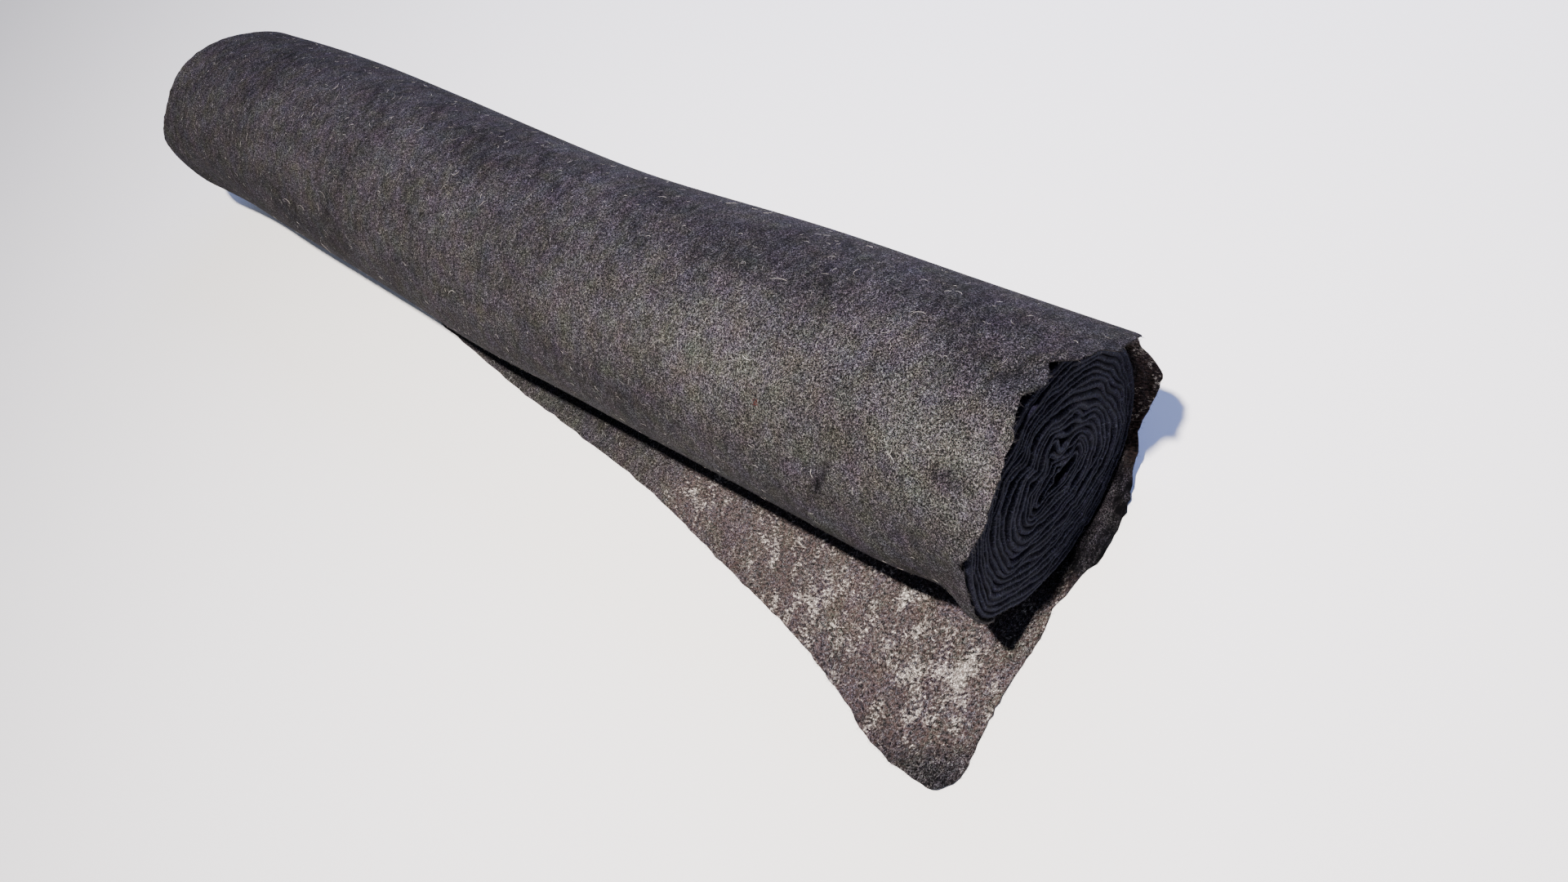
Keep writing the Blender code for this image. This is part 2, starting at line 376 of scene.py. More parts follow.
@dataclass(frozen=True)
class RollForm:
    """The outer form of the roll, the same as the solids'."""

    sections: tuple = SECTIONS
    dents: tuple = DENTS + FINE_DENTS

    def section(self, x: np.ndarray) -> tuple[np.ndarray, np.ndarray, np.ndarray]:
        """Reads how far the middle stands aside, the half width and the half height along X."""
        share = np.asarray(x) / HALF_WIDTH
        return tuple(along_table(self.sections, share, column) for column in (1, 2, 3))

    def swell(self, x: np.ndarray, degrees: np.ndarray) -> np.ndarray:
        """Adds up the dents at places along X and angles from the back, at +Y, over the top."""
        return bumps(self.dents, x, degrees, circle=360)

    def point(
        self, x: np.ndarray, degrees: np.ndarray, stand_off: np.ndarray, share: np.ndarray
    ) -> tuple[np.ndarray, np.ndarray]:
        """A point of the form, drawn in towards its middle: an ellipse by angle, swollen.

        Args:
            x: places along the roll.
            degrees: angles from the back, at +Y, over the top.
            stand_off: distance off the surface.
            share: share of the size kept.

        Returns:
            Y and Z.
        """
        aside, half_width, half_height = self.section(x)
        angle = np.radians(degrees)
        out = self.swell(x, degrees) + stand_off
        y = aside + share * (half_width + out) * np.cos(angle)
        z = half_height + share * (half_height + out) * np.sin(angle)
        return y, z


@dataclass(frozen=True)
class Winding:
    """The path of the wound cloth by turn: turn 0 starts under the roll, and it goes inwards."""

    form: RollForm = field(default_factory=RollForm)
    # The last turn, and the one where the outer piece hands over to the inner one.
    turns: float = 18.7
    handover: float = 1.12
    # Where the way in starts, and how far in the step beside it leads, over which turns. The
    # last two are its share on top and under the roll, and how much more it is behind and
    # less in front.
    inward_from: float = 1.15
    step_in: float = 0.045
    stepping: tuple = (1.10, 1.30)
    step_shares: tuple = (0.7, 0.3)
    # How far in the middle turn's table is.
    middle_at: float = 0.45
    # How far the turns inside sag, and how far the outer turn stands off the form behind.
    core_drop: float = 10 * MM
    outside: float = 3.1 * MM
    # Over which turns the outer one comes in to the form, the cloth comes to lie on the flap
    # instead of the floor, the sag sets in, and the folds do.
    onto_form: tuple = (0.25, 0.37)
    onto_flap: tuple = (0.45, 0.55)
    sagging: tuple = (1.12, 1.45)
    folding: tuple = (1.3, 3.2)
    # Folds pressed into the inner turns: y, z, reach in y, reach in z, push in y, push in z.
    pushes: tuple = (
        (0.017, 0.236, 0.015, 0.022, 0 * MM, 8 * MM),
        (-0.020, 0.226, 0.016, 0.024, 0 * MM, -7 * MM),
        (0.083, 0.205, 0.016, 0.016, -9 * MM, -3 * MM),
    )
    # Curls in the inner turns: y, z, radius, and how far the middle is turned in degrees.
    curls: tuple = (
        (0.018, 0.217, 0.015, -80),
        (0.130, 0.158, 0.020, 14),
        (0.036, 0.180, 0.014, 45),
        (-0.060, 0.186, 0.010, -60),
    )
    # Where the turns bunch and part: direction in degrees, wavelength, amplitude, phase.
    bunching: tuple = (
        (75, 0.043, 1.7 * MM, 0.2),
        (160, 0.051, 1.9 * MM, 1.3),
        (20, 0.037, 1.3 * MM, 2.9),
        (118, 0.029, 1.0 * MM, 4.4),
    )

    def inward(self, turn: np.ndarray) -> np.ndarray:
        """How far in the cloth is at a turn: a straight way in, and a step beside its start,
        largest behind, that is lost again towards the core.

        Args:
            turn: the turn.

        Returns:
            0 on the outside and 1 at the core.
        """
        steady = np.clip((turn - self.inward_from) / (self.turns - self.inward_from), 0, 1)
        level, more = self.step_shares
        behind = level + more * np.sin(2 * math.pi * turn)
        return steady + self.step_in * behind * smoothstep(*self.stepping, turn) * (1 - steady)

    def share(self, turn: np.ndarray, degrees: np.ndarray) -> np.ndarray:
        """The share of the outer turn's size that a turn has: from 1 through the middle turn's
        table to the core's, in two straight stretches.

        Args:
            turn: the turn.
            degrees: the angle.

        Returns:
            The share.
        """
        u = self.inward(turn)
        middle = around_table(MIDDLE_TURN, degrees)
        core = around_table(CORE_TURN, degrees)
        first = np.minimum(u / self.middle_at, 1)
        second = np.clip((u - self.middle_at) / (1 - self.middle_at), 0, 1)
        return 1 + (middle - 1) * first + (core - middle) * second

    def middle_surface(
        self, turn: np.ndarray, x: np.ndarray, lift: np.ndarray | float = 0.0
    ) -> np.ndarray:
        """The middle of the cloth's thickness as a surface of two parameters: the form, drawn
        in by turn, with the sag, most at the top, the folds, and the floor as its lowest.

        Args:
            turn: turns, as a column.
            x: places along the roll.
            lift: how far the cloth stands off its place.

        Returns:
            Points, last axis X, Y, Z.
        """
        degrees = turn * 360 - 90
        stand_off = self.outside * (1 - smoothstep(*self.onto_form, turn)) - THICKNESS / 2 + lift
        y, z = self.form.point(x, degrees, stand_off, self.share(turn, degrees))
        z = z - self.core_drop * smoothstep(*self.sagging, turn) * (1 + np.sin(np.radians(degrees))) / 2
        y, z = self.folded(y, z, smoothstep(*self.folding, turn))
        lowest = THICKNESS / 2 + (THICKNESS + CLEARANCE) * smoothstep(*self.onto_flap, turn)
        return np.stack([x + 0 * y, y, np.maximum(z, lowest)], axis=-1)

    def folded(self, y: np.ndarray, z: np.ndarray, strength: np.ndarray) -> tuple[np.ndarray, np.ndarray]:
        """Presses the folds and curls in. Each one bends the whole plane smoothly, so that the
        turns stay in order: a push adds p * exp(-(d / reach)^2), a curl turns points about
        its middle by a * exp(-(d / radius)^2), and bunching adds a * sin(2 pi d / wavelength).

        Args:
            y: places across.
            z: heights.
            strength: from 0 to 1.

        Returns:
            Y and Z, folded.
        """
        for at_y, at_z, reach_y, reach_z, push_y, push_z in self.pushes:
            fall = strength * np.exp(-(((y - at_y) / reach_y) ** 2) - ((z - at_z) / reach_z) ** 2)
            y, z = y + push_y * fall, z + push_z * fall
        for at_y, at_z, radius, turned in self.curls:
            away = ((y - at_y) ** 2 + (z - at_z) ** 2) / radius**2
            angle = np.radians(turned) * strength * np.exp(-away)
            cos, sin = np.cos(angle), np.sin(angle)
            from_y, from_z = y - at_y, z - at_z
            y = at_y + cos * from_y - sin * from_z
            z = at_z + sin * from_y + cos * from_z
        for direction, wavelength, amplitude, phase in self.bunching:
            cos, sin = math.cos(math.radians(direction)), math.sin(math.radians(direction))
            push = strength * amplitude * np.sin(2 * math.pi * (y * cos + z * sin) / wavelength + phase)
            y, z = y + push * cos, z + push * sin
        return y, z


def stations(spacings: tuple, edge: tuple) -> np.ndarray:
    """Places across the cloth, from -1 to 1 m, closer where it matters. The rows that round an
    edge off have none of the others among them, or within a millimetre.

    Args:
        spacings: rows of where a stretch ends, and the spacing in it.
        edge: distances from each edge of the rows that round it off.

    Returns:
        The places in order.
    """
    places = in_stretches(-HALF_WIDTH, spacings)
    inner = [place for place in places if abs(place) < HALF_WIDTH - edge[-1] - 1 * MM]
    near = [HALF_WIDTH - distance for distance in edge]
    return np.array(sorted(inner + near + [-place for place in near]))


def reach_out(x: np.ndarray, near: np.ndarray, far: np.ndarray) -> np.ndarray:
    """Moves the ends of the cloth's width to its uneven edges.

    Args:
        x: nominal places across the cloth.
        near: how far the near edge reaches past the nominal width.
        far: the same for the far edge.

    Returns:
        The real places.
    """
    return x + near * smoothstep(EDGE_FROM, HALF_WIDTH, x) - far * smoothstep(EDGE_FROM, HALF_WIDTH, -x)


def rounded_edge(x: np.ndarray, depth: float, least: float) -> np.ndarray:
    """How the cloth thins out towards its edges, as a share of its thickness: a quarter of an
    ellipse, on top of the least share.

    Args:
        x: nominal places across the cloth.
        depth: how far in the thinning starts.
        least: the share at the very edge.

    Returns:
        The share at each place.
    """
    inside = np.clip((HALF_WIDTH - np.abs(x)) / depth, 0, 1)
    return least + (1 - least) * np.sqrt(1 - (1 - inside) ** 2)


@dataclass
class ClosedSheet:
    """A grid of the middle of a cloth, turned into a closed sheet of its thickness. Its front
    is the face that the normals point to: the inside of the roll where the cloth is wound, and
    the top where it lies on the floor."""

    name: str
    middle: np.ndarray
    front_half: np.ndarray
    back_half: np.ndarray
    uv: np.ndarray
    # How thin the cloth is; on the turns inside it also carries the crest's painted highlight.
    thin: np.ndarray
    # Wear with painted light, and painted shade where it is negative.
    worn: np.ndarray

    def normals(self) -> np.ndarray:
        """Unit normals of the middle surface, the cross product of its two slopes.

        Returns:
            A normal for each point.
        """
        along = np.gradient(self.middle, axis=0)
        across = np.gradient(self.middle, axis=1)
        normal = np.cross(across, along)
        return normal / np.maximum(np.linalg.norm(normal, axis=-1, keepdims=True), 1e-12)

    def area(self) -> float:
        """The area of the middle surface.

        Returns:
            Square metres.
        """
        m = self.middle
        first = np.cross(m[1:, :-1] - m[:-1, :-1], m[:-1, 1:] - m[:-1, :-1])
        second = np.cross(m[1:, 1:] - m[1:, :-1], m[1:, 1:] - m[:-1, 1:])
        return float((np.linalg.norm(first, axis=-1) + np.linalg.norm(second, axis=-1)).sum() / 2)

    def build(self) -> bpy.types.Object:
        """Makes the object, its faces outwards.

        Returns:
            The new object, linked to the scene.
        """
        normals = self.normals()
        rows, columns = self.middle.shape[:2]
        count = rows * columns
        front = self.middle + normals * self.front_half[..., None]
        back = self.middle - normals * self.back_half[..., None]
        points = np.concatenate([front.reshape(-1, 3), back.reshape(-1, 3)])
        points = points + np.array(ROLL_MIDDLE)
        index = np.arange(count).reshape(rows, columns)
        quads = np.stack([index[:-1, :-1], index[:-1, 1:], index[1:, 1:], index[1:, :-1]], axis=-1)
        quads = quads.reshape(-1, 4)
        border = np.concatenate([index[0, :-1], index[:-1, -1], index[-1, :0:-1], index[:0:-1, 0]])
        beside = np.roll(border, -1)
        rim = np.stack([beside, border, border + count, beside + count], axis=-1)
        faces = np.concatenate([quads, quads[:, ::-1] + count, rim])
        mesh = bpy.data.meshes.new(self.name)
        mesh.vertices.add(len(points))
        mesh.vertices.foreach_set("co", points.ravel())
        mesh.loops.add(faces.size)
        mesh.loops.foreach_set("vertex_index", faces.ravel().astype(np.int32))
        mesh.polygons.add(len(faces))
        mesh.polygons.foreach_set("loop_start", np.arange(0, faces.size, 4, dtype=np.int32))
        mesh.update(calc_edges=True)
        flat = np.concatenate([self.uv.reshape(-1, 2), self.uv.reshape(-1, 2) + (OTHER_FACE, 0.0)])
        layer = mesh.uv_layers.new(name="cloth")
        layer.uv.foreach_set("vector", flat[faces.ravel()].ravel().astype(np.float32))
        for name, values in (("thin", self.thin), ("worn", self.worn)):
            attribute = mesh.attributes.new(name, "FLOAT", "POINT")
            attribute.data.foreach_set("value", np.tile(values.ravel(), 2).astype(np.float32))
        mesh.shade_smooth()
        built = bpy.data.objects.new(self.name, mesh)
        bpy.context.scene.collection.objects.link(built)
        log.info("%s: %d faces, %.2f square metres", self.name, len(faces), self.area())
        return built

    def at(self, rows: np.ndarray, columns: np.ndarray, side: float) -> tuple[np.ndarray, ...]:
        """Places on one face of the cloth, between the grid's points.

        Args:
            rows: places along the grid's rows, as fractions of an index.
            columns: the same across it.
            side: 1 for the front, and -1 for the back.

        Returns:
            Points, unit vectors off the face, and unit vectors across the cloth.
        """
        normals = self.normals()
        half = self.front_half if side > 0 else self.back_half
        face = self.middle + side * normals * half[..., None]
        across = np.gradient(self.middle, axis=1)
        across /= np.maximum(np.linalg.norm(across, axis=-1, keepdims=True), 1e-12)
        row, column = np.floor(rows).astype(int), np.floor(columns).astype(int)
        down, right = (rows - row)[:, None], (columns - column)[:, None]
        below = np.minimum(row + 1, face.shape[0] - 1)
        beside = np.minimum(column + 1, face.shape[1] - 1)
        read = [
            (1 - down) * ((1 - right) * grid[row, column] + right * grid[row, beside])
            + down * ((1 - right) * grid[below, column] + right * grid[below, beside])
            for grid in (face, side * normals, across)
        ]
        return tuple(read)


def path_lengths(middle: np.ndarray) -> np.ndarray:
    """How far along its length each row of a cloth is, measured at its middle column.

    Args:
        middle: the grid of the cloth's middle.

    Returns:
        Metres from the first row.
    """
    column = middle[:, middle.shape[1] // 2]
    steps = np.linalg.norm(np.diff(column, axis=0), axis=-1)
    return np.concatenate([[0], np.cumsum(steps)])


@dataclass
class OuterCloth:
    """The loose end and the outer turn: from the cut edge on the floor, under the roll, up
    its back, over the top and down its front, into the nip."""

    winding: Winding
    # Rows on the floor, and how strongly they crowd towards the cut edge.
    floor_lines: int = 46
    crowding: float = 1.4
    spacings: tuple = ((0.45, 0.021), (0.74, 0.013), (0.81, 0.0045), (1.0, 0.0075))
    edge: tuple = (0.0, 0.6 * MM, 1.8 * MM, 4 * MM, 8 * MM)
    # How the edges thin out: how far in that starts, the share left, and the shares of the
    # thickness in the first two rows at the cut.
    thinned: tuple = (4 * MM, 0.42)
    cut_shares: tuple = (0.45, 0.85)
    # Where each stretch of the wound path ends in degrees, and its step.
    wrap_steps: tuple = ((20, 2.6), (156, 1.5), (313.2, 2.7))
    # What turns an angle into a length round the roll.
    mean_radius: float = 180 * MM
    # From here to the half width the near rim lifts.
    rim_from: float = 940 * MM
    # The edges' raggedness on the floor and round the roll: height, wavelength, seed.
    selvedge_waves: tuple = ((1.1 * MM, 0.016, 3),)
    cut_waves: tuple = ((1.4 * MM, 0.05, 5), (0.6 * MM, 0.011, 6))
    near_waves: tuple = ((1.3 * MM, 0.020, 11), (0.7 * MM, 0.008, 12))
    far_waves: tuple = ((1.3 * MM, 0.020, 13),)
    # The flap is a little thinner towards its near end, growing between two places along X.
    # Nothing is thin under the roll, which starts between two places across.
    thinner: float = 0.16
    thinner_along: tuple = (0.1, 0.7)
    single_until: tuple = (-0.11, -0.04)
    # The thin tongue of cloth beside the wound face: its angle, spread, start and thinness.
    tongue: tuple = (-20, 24, 0.96, 0.85)
    # The flap's wear. It is darker towards the roll, as painted shade, and darker towards the
    # cut edge: by how much, growing between two places across.
    flap_worn: float = 0.55
    flap_less: tuple = ((1.15, -0.13, -0.05), (0.45, -0.25, -0.37))
    # Painted light on the turn: paler growing between two angles, less so again between two
    # others, and by how much, then painted shade towards the far end, from a share there to all
    # of it at the near one.
    painted_light_from: tuple = (62, 118)
    painted_light_less: tuple = (120, 160)
    less_by: float = 0.62
    far_share: float = 0.35
    far_to_near: tuple = (-0.5, 1.05)

    def floor(self, x: np.ndarray) -> tuple[np.ndarray, np.ndarray]:
        """The flap: y goes from the cut edge to under the roll's middle, and z is a sum of
        low waves.

        Args:
            x: nominal places across the cloth.

        Returns:
            The grid of points, and how thin the cloth is at each.
        """
        share = (np.linspace(0, 1, self.floor_lines + 1)[:-1] ** self.crowding)[:, None]
        corner = -CUT_EDGE[-1][1]
        line_y = corner * (1 - share)
        inset = np.minimum(line_y - corner, CORNER_RADIUS)
        rounding = CORNER_RADIUS - np.sqrt(CORNER_RADIUS**2 - (CORNER_RADIUS - inset) ** 2)
        near = along_table(FLOOR_SELVEDGE, line_y) - rounding + ragged(line_y, self.selvedge_waves)
        real_x = reach_out(x[None, :], near, 0 * near)
        cut = along_table(CUT_EDGE, real_x) + ragged(real_x, self.cut_waves)
        y = -cut * (1 - share) + self.winding.form.section(real_x)[0] * share
        lift = np.maximum(bumps(WAVES, real_x, y) - LEAST_LIFT, 0) + THICKNESS / 2
        thin = self.thinner * smoothstep(*self.thinner_along, real_x) + bumps(THIN_PLACES, real_x, y)
        return np.stack([real_x, y, lift], axis=-1), thin * (1 - smoothstep(*self.single_until, y))

    def wrap(self, x: np.ndarray) -> tuple[np.ndarray, np.ndarray, np.ndarray]:
        """The turn round the roll, as the winding gives it, with its ragged edges.

        Args:
            x: nominal places across the cloth.

        Returns:
            The grid of points, how thin the cloth is at each, and its wear with painted light and shade.
        """
        angles = np.array(in_stretches(-90.0, self.wrap_steps))[:, None]
        arc = np.radians(angles) * self.mean_radius
        near = straight_table(NEAR_EDGE, angles) + ragged(arc, self.near_waves)
        far = straight_table(FAR_EDGE, angles) + ragged(arc, self.far_waves)
        real_x = reach_out(x[None, :], near, far)
        lift = straight_table(RIM_LIFT, angles) * smoothstep(self.rim_from, HALF_WIDTH, x)[None, :]
        grid = self.winding.middle_surface((angles + 90) / 360, real_x, lift)
        middle, spread, start, thinness = self.tongue
        tongue = np.exp(-(((angles - middle) / spread) ** 2)) * smoothstep(start, HALF_WIDTH, x)[None, :]
        # Painted light: the turn grows paler from 62 to 118 degrees, over the top, is less so again down
        # the front, and gets painted shade towards the far end.
        worn = smoothstep(*self.painted_light_from, angles)
        worn = worn * (1 - self.less_by * smoothstep(*self.painted_light_less, angles))
        worn = worn * (self.far_share + (1 - self.far_share) * smoothstep(*self.far_to_near, x))[None, :]
        return grid, thinness * tongue, worn + bumps(WEAR_AND_SHADE_PLACES, real_x, angles)

    def build(self) -> tuple[bpy.types.Object, ClosedSheet]:
        """Makes the piece.

        Returns:
            The object and the sheet that it was made from.
        """
        x = stations(self.spacings, self.edge)
        floor, floor_thin = self.floor(x)
        wrap, wrap_thin, wrap_wear_and_light = self.wrap(x)
        middle = np.concatenate([floor, wrap])
        thin = np.concatenate([floor_thin, wrap_thin])
        # The flap's wear, with painted shade towards the roll, and darker towards the cut edge.
        floor_wear_and_shade = self.flap_worn
        for less, start, end in self.flap_less:
            floor_wear_and_shade = floor_wear_and_shade - less * smoothstep(start, end, floor[..., 1])
        worn = np.concatenate([floor_wear_and_shade, wrap_wear_and_light])
        share = np.tile(rounded_edge(x, *self.thinned), (len(middle), 1))
        share[0], share[1] = self.cut_shares[0], np.minimum(share[1], self.cut_shares[1])
        lengths = path_lengths(middle)
        uv = np.stack([np.tile(lengths[:, None], (1, len(x))), middle[..., 0]], axis=-1)
        half = THICKNESS / 2 * share
        sheet = ClosedSheet("outer_cloth", middle, half, half, uv, thin, worn)
        return sheet.build(), sheet


@dataclass
class InnerTurns:
    """The turns inside the outer one, down to the hollow that they are wound round."""

    winding: Winding
    # The rows' distance along the cloth, the fine steps and the place along the roll that it
    # is measured with, and the columns.
    spacing: float = 6.2 * MM
    fine_steps: int = 12000
    paced_at: float = 950 * MM
    spacings: tuple = ((-0.95, 0.02), (-0.6, 0.15), (0.6, 0.4), (0.95, 0.15), (1.0, 0.02))
    edge: tuple = (0.0, 0.12 * MM, 0.5 * MM, 1.4 * MM, 4 * MM, 10 * MM)
    # By end: the share of the outer edge's waviness, how much of it is lost on the way in, and
    # how far the edges are set back. They start further back, until they are well inside.
    near_edge: tuple = (0.04, 0.0, 11 * MM)
    far_edge: tuple = (0.7, 0.4, 6 * MM)
    started_back: float = 16 * MM
    started_until: float = 1.45
    # The edges' raggedness by turn: height, wavelength, seed. The first seed goes by end.
    waves: tuple = ((1.6 * MM, 0.9, 21), (0.9 * MM, 0.11, 31), (0.5 * MM, 0.017, 33))
    # The cut edges fluff up, to fill the space to the next turn: the place along the roll where
    # that is measured, the space where there is no next turn, over how many rows it is evened
    # out, and the most that a half of the thickness may be.
    gap_at: float = 970 * MM
    core_gap: float = 7 * MM
    evened: int = 7
    most_half: float = 6 * MM
    # Over how much of a turn the fluff sets in, how far from the edge it starts and is full,
    # and how the edge is rounded off: how far in that starts, and the share left.
    fluff_after: float = 0.25
    fluff_depth: tuple = (35 * MM, 15 * MM)
    rounding: tuple = (4 * MM, 0.16)
    # The very edge is paler, partly pale fuzz and partly a painted highlight: by how much, and how
    # much less of that between two heights, as painted shade under the rim near the top.
    crest_pale_and_highlight: float = 0.2
    crest_painted_shade: float = 0.6
    crest_shade_heights: tuple = (0.26, 0.335)
    # Where along the felt's pattern the piece starts.
    pattern_from: float = 1.7

    def turn_places(self) -> np.ndarray:
        """Turns from the handover to the core, an even distance apart along the cloth.

        Returns:
            The turns as a column.
        """
        fine = np.linspace(self.winding.handover, self.winding.turns, self.fine_steps)[:, None]
        points = self.winding.middle_surface(fine, np.full((1, 1), self.paced_at))
        lengths = path_lengths(points)
        count = round(lengths[-1] / self.spacing)
        return np.interp(np.linspace(0, lengths[-1], count), lengths, fine[:, 0])[:, None]

    def reach(self, turn: np.ndarray, end: End) -> np.ndarray:
        """How far the turns' edges reach past the nominal width: set back, with a share of the
        outer edge's waviness, and uneven by turn and angle.

        Args:
            turn: the turns.
            end: the end of the roll.

        Returns:
            The reach at each turn.
        """
        is_near = end is End.NEAR
        outer = straight_table(NEAR_EDGE if is_near else FAR_EDGE, (turn * 360) % 360 - 90)
        share, lost, set_back = self.near_edge if is_near else self.far_edge
        hidden = 1 - smoothstep(self.winding.handover, self.started_until, turn)
        (height, wavelength, seed), *finer = self.waves
        rough = ragged(turn, ((height, wavelength, seed + end.value), *finer))
        set_back = set_back + self.started_back * hidden
        return (share - lost * self.winding.inward(turn)) * outer - set_back + rough

    def half_thickness(self, turn: np.ndarray, x: np.ndarray, beside: float) -> np.ndarray:
        """Half the cloth's thickness on one side: plain inside the roll, and fluffed up at the
        ends to half the distance to the next turn, then rounded off at the edge.

        Args:
            turn: the turns, as a column.
            x: nominal places along the roll.
            beside: 1 for the side of the next turn inwards, and -1 for outwards.

        Returns:
            The half thickness at each point.
        """
        place = np.full((1, 1), self.gap_at)
        next_turn = np.minimum(turn + beside, self.winding.turns)
        here = self.winding.middle_surface(turn, place)[:, 0, 1:]
        away = self.winding.middle_surface(next_turn, place)[:, 0, 1:] - here
        along = np.gradient(here, axis=0)
        along /= np.linalg.norm(along, axis=1, keepdims=True)
        gap = np.abs(away[:, 0] * along[:, 1] - away[:, 1] * along[:, 0])
        gap[turn[:, 0] + beside > self.winding.turns] = self.core_gap
        padded = np.pad(gap, self.evened // 2, mode="edge")
        gap = np.convolve(padded, np.full(self.evened, 1 / self.evened), mode="valid")
        fluffed = np.clip(gap / 2, THICKNESS / 2, self.most_half)[:, None]
        handover = self.winding.handover
        begun = smoothstep(handover, handover + self.fluff_after, turn)
        start, full = self.fluff_depth
        near_edge = 1 - smoothstep(full, start, HALF_WIDTH - np.abs(x)[None, :])
        half = THICKNESS / 2 + (fluffed - THICKNESS / 2) * begun * near_edge
        return half * rounded_edge(x, *self.rounding)[None, :]

    def build(self) -> tuple[bpy.types.Object, ClosedSheet]:
        """Makes the piece. Its front is the side of the next turn inwards.

        Returns:
            The object and the sheet that it was made from.
        """
        x = stations(self.spacings, self.edge)
        turn = self.turn_places()
        real_x = reach_out(x[None, :], self.reach(turn, End.NEAR), self.reach(turn, End.FAR))
        middle = self.winding.middle_surface(turn, real_x)
        lengths = path_lengths(middle)[:, None] + self.pattern_from
        uv = np.stack([np.tile(lengths, (1, len(x))), middle[..., 0]], axis=-1)
        halves = self.half_thickness(turn, x, 1), self.half_thickness(turn, x, -1)
        # The crest's paleness, partly a painted highlight, with painted shade taking it back near the
        # top.
        crest = np.clip(1 - (HALF_WIDTH - np.abs(x)) / self.edge[1], 0, 1)
        less = self.crest_painted_shade * smoothstep(*self.crest_shade_heights, middle[..., 2])
        thin = self.crest_pale_and_highlight * crest * (1 - less)
        sheet = ClosedSheet("inner_turns", middle, *halves, uv, thin, 0 * thin)
        return sheet.build(), sheet


@dataclass(frozen=True)
class FibreKind:
    """A kind of loose fibre: its darkest and palest tone, its width as a share of the usual
    one, its shortest and longest length in millimetres, how many there are, and for a kind
    that lies on the cloth, the places along the roll that it lies between."""

    dark: str
    pale: str
    width: float
    lengths: tuple
    count: int
    x: tuple = ()


@dataclass
class LooseFibres:
    """Single fibres: they stand out from the cloth's edges and lie in curls on it. A few long
    pale ones and a tuft of dull red fluff lie on the roll among them."""

    outer: ClosedSheet
    inner: ClosedSheet
    floor_lines: int
    seed: int = 11
    steps: int = 5
    sides: int = 3
    # Real fibres are about 0.03 mm thick, too fine to show, so they are drawn this thick.
    thickness: float = 0.34 * MM
    # Curls on the outer turn, long ones among them, curls on the flap, then ends that stand
    # out from the outer cloth's edges, from its cut and from the turns inside, and the tuft.
    on_roll: FibreKind = FibreKind("5C5658", "E8E2DC", 0.9, (4, 12), 1500, (-0.97, 0.98))
    long_ones: FibreKind = FibreKind("A8A09C", "F4EEE6", 1.2, (12, 26), 46, (-0.5, 0.98))
    on_flap: FibreKind = FibreKind("6E6460", "FFFFFF", 1.0, (4, 12), 500, (-0.8, 0.98))
    at_edges: FibreKind = FibreKind("17171A", "6C686A", 0.7, (2.1, 7), 733)
    at_cut: FibreKind = FibreKind("17171A", "6C686A", 0.7, (2.1, 7), 366)
    at_turns: FibreKind = FibreKind("20222C", "83868F", 0.55, (1.2, 4), 700)
    tuft: FibreKind = FibreKind("4A1E1C", "8C4038", 0.9, (3, 8), 16, (0.668, 0.677))
    # Rows past the flap's where the curls on the roll start and end, the latter from the last
    # row back, and where the tuft lies. On the flap they lie on this share of its rows.
    roll_rows: tuple = (50, -8)
    tuft_rows: tuple = (111.3, 113.3)
    flap_share: float = 0.8
    # Least and greatest bend in radians of a curl and of an end, and how far a curl may rise.
    curl_bend: tuple = (0.4, 2.6)
    end_bend: tuple = (0.3, 1.8)
    rise: float = 0.25
    # The share of the ends that are at the roll's near end, how much they stray, and how far
    # they point out at least.
    near_share: float = 0.6
    stray: float = 0.9
    least_out: float = 0.3
    # A fibre's width from its root over its thickest part to its tip.
    taper_at: tuple = (0, 0.3, 1)
    taper: tuple = (0.6, 1, 0.35)
    # How far off the cloth a curl lies, the height under which an end only points up, and the
    # lowest point of any fibre.
    off_cloth: float = 0.2 * MM
    near_floor: float = 6 * MM
    lowest: float = 0.1 * MM

    def arcs(
        self, roots: np.ndarray, start: np.ndarray, lean: np.ndarray, length: np.ndarray, bend: np.ndarray
    ) -> tuple[np.ndarray, ...]:
        """Fibres as arcs: root + length * (start * sin(bt) + lean * (1 - cos(bt))) / b, for t
        from 0 to 1.

        Args:
            roots: where they start.
            start: the way that they set out.
            lean: the way that they bend.
            length: how long they are.
            bend: how far they turn, b, in radians.

        Returns:
            Points, directions and binormals, by fibre and step.
        """
        start = start / np.linalg.norm(start, axis=-1, keepdims=True)
        lean = lean - start * (lean * start).sum(-1, keepdims=True)
        lean = lean / np.linalg.norm(lean, axis=-1, keepdims=True)
        t = np.linspace(0, 1, self.steps)[None, :, None]
        turned = bend[:, None, None] * t
        start, lean, scale = start[:, None], lean[:, None], (length / bend)[:, None, None]
        points = roots[:, None] + scale * (start * np.sin(turned) + lean * (1 - np.cos(turned)))
        ways = start * np.cos(turned) + lean * np.sin(turned)
        return points, ways, np.cross(start, lean) + 0 * ways

    def lying(
        self, rng: np.random.Generator, rows: tuple, side: float, kind: FibreKind
    ) -> tuple[np.ndarray, ...]:
        """Curls that lie on a face of the outer cloth.

        Args:
            rng: where the numbers come from.
            rows: the first and last row that they lie on.
            side: the face of the cloth, 1 for its front and -1 for its back.
            kind: the kind of fibre.

        Returns:
            Points, directions and binormals.
        """
        count = kind.count
        row = rng.uniform(*rows, count)
        along = self.outer.middle[int(sum(rows) / 2), :, 0]
        column = np.interp(rng.uniform(*kind.x, count), along, np.arange(len(along)))
        root, off, across = self.outer.at(row, column, side)
        beside = np.cross(off, across)
        angle = rng.uniform(0, 2 * math.pi, count)[:, None]
        start = np.cos(angle) * across + np.sin(angle) * beside
        lean = -np.sin(angle) * across + np.cos(angle) * beside
        lean = lean + off * rng.uniform(0, self.rise, count)[:, None]
        length, bend = rng.uniform(*kind.lengths, count) * MM, rng.uniform(*self.curl_bend, count)
        return self.arcs(root + off * self.off_cloth, start, lean, length, bend)

